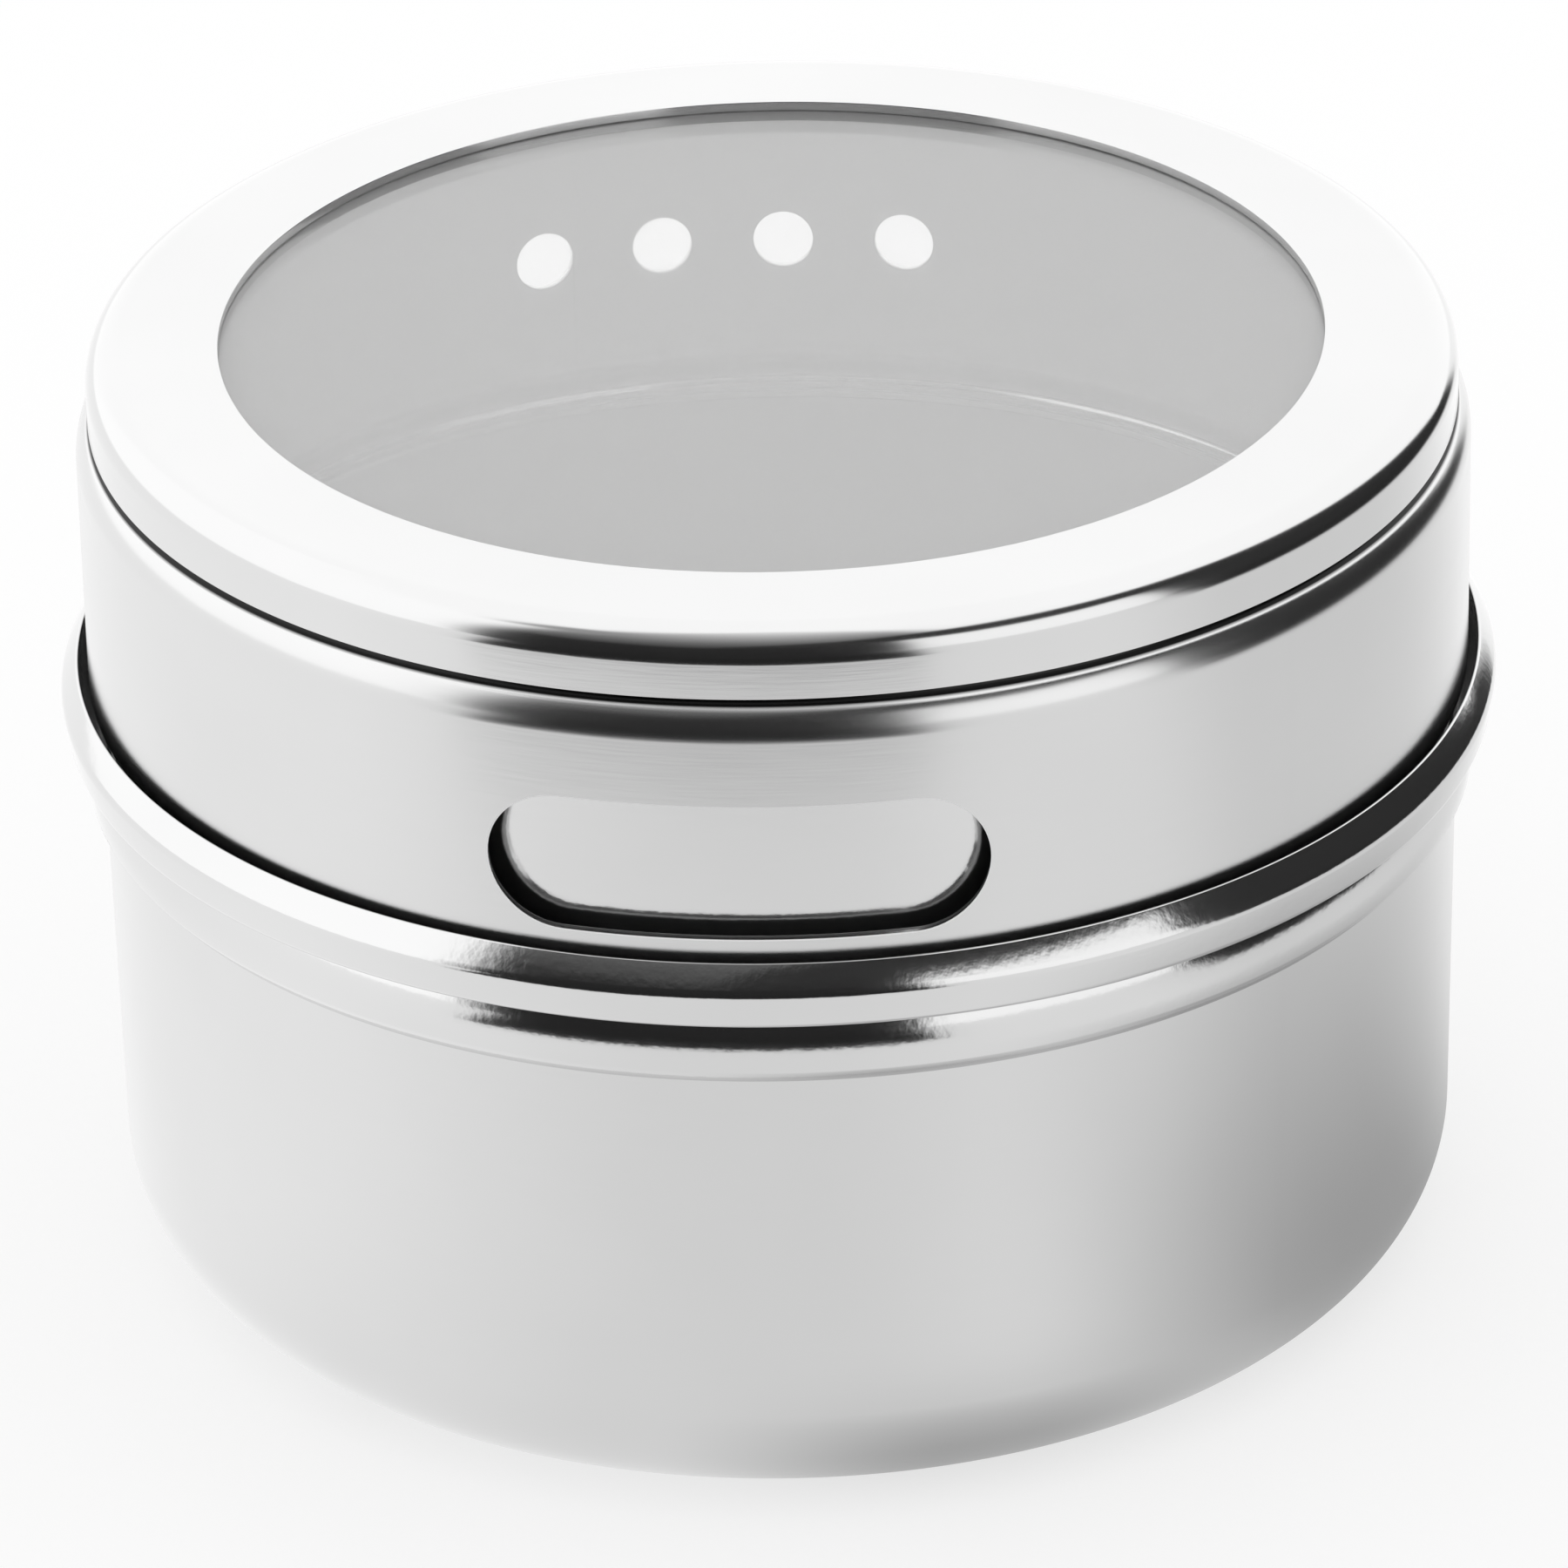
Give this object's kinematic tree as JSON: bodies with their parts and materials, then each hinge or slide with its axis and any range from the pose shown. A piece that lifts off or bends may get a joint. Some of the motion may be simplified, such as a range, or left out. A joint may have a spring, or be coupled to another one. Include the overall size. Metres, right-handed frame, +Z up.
{
  "type": "magnetic seasoning box",
  "caption": "Round steel seasoning tin with a turning, lift-off windowed lid: side slots that open over shaking holes or a pour opening, and a magnet under its base.",
  "frame": {"origin": "centre of the base, on the plane of the foot", "axes": "+Z up along the box's axis, -Y towards the lid's front slot at rest, +Y towards the shaking holes, +X towards the neck's pour opening"},
  "size_m": [0.0666, 0.0666, 0.045],
  "materials": {
    "cup_steel": "satin stainless steel",
    "ring_steel": "satin stainless steel, brighter on the beads",
    "lid_steel": "satin stainless steel",
    "bezel_steel": "fine satin stainless steel",
    "clear_plastic": "clear polystyrene",
    "ferrite": "matt sintered ferrite",
    "foam_pad": "double-sided foam",
    "cap_plastic": "moulded polypropylene"
  },
  "bodies": {
    "box": {"cup": "cup_steel", "neck_ring": "ring_steel", "magnet": "ferrite", "magnet_pad": "foam_pad", "magnet_cap": "cap_plastic"},
    "window": {"window_disc": "clear_plastic"},
    "lid": {"lid_skirt": "lid_steel", "lid_bezel": "bezel_steel"}
  },
  "joints": [
    {"name": "lid_lift", "type": "slide", "parent": "box", "child": "window", "axis": [0, 0, 1], "range_m": [0, 0.03]},
    {"name": "lid_turn", "type": "hinge", "parent": "window", "child": "lid", "pos_m": [0, 0, 0.035], "axis": [0, 0, 1], "continuous": true}
  ]
}
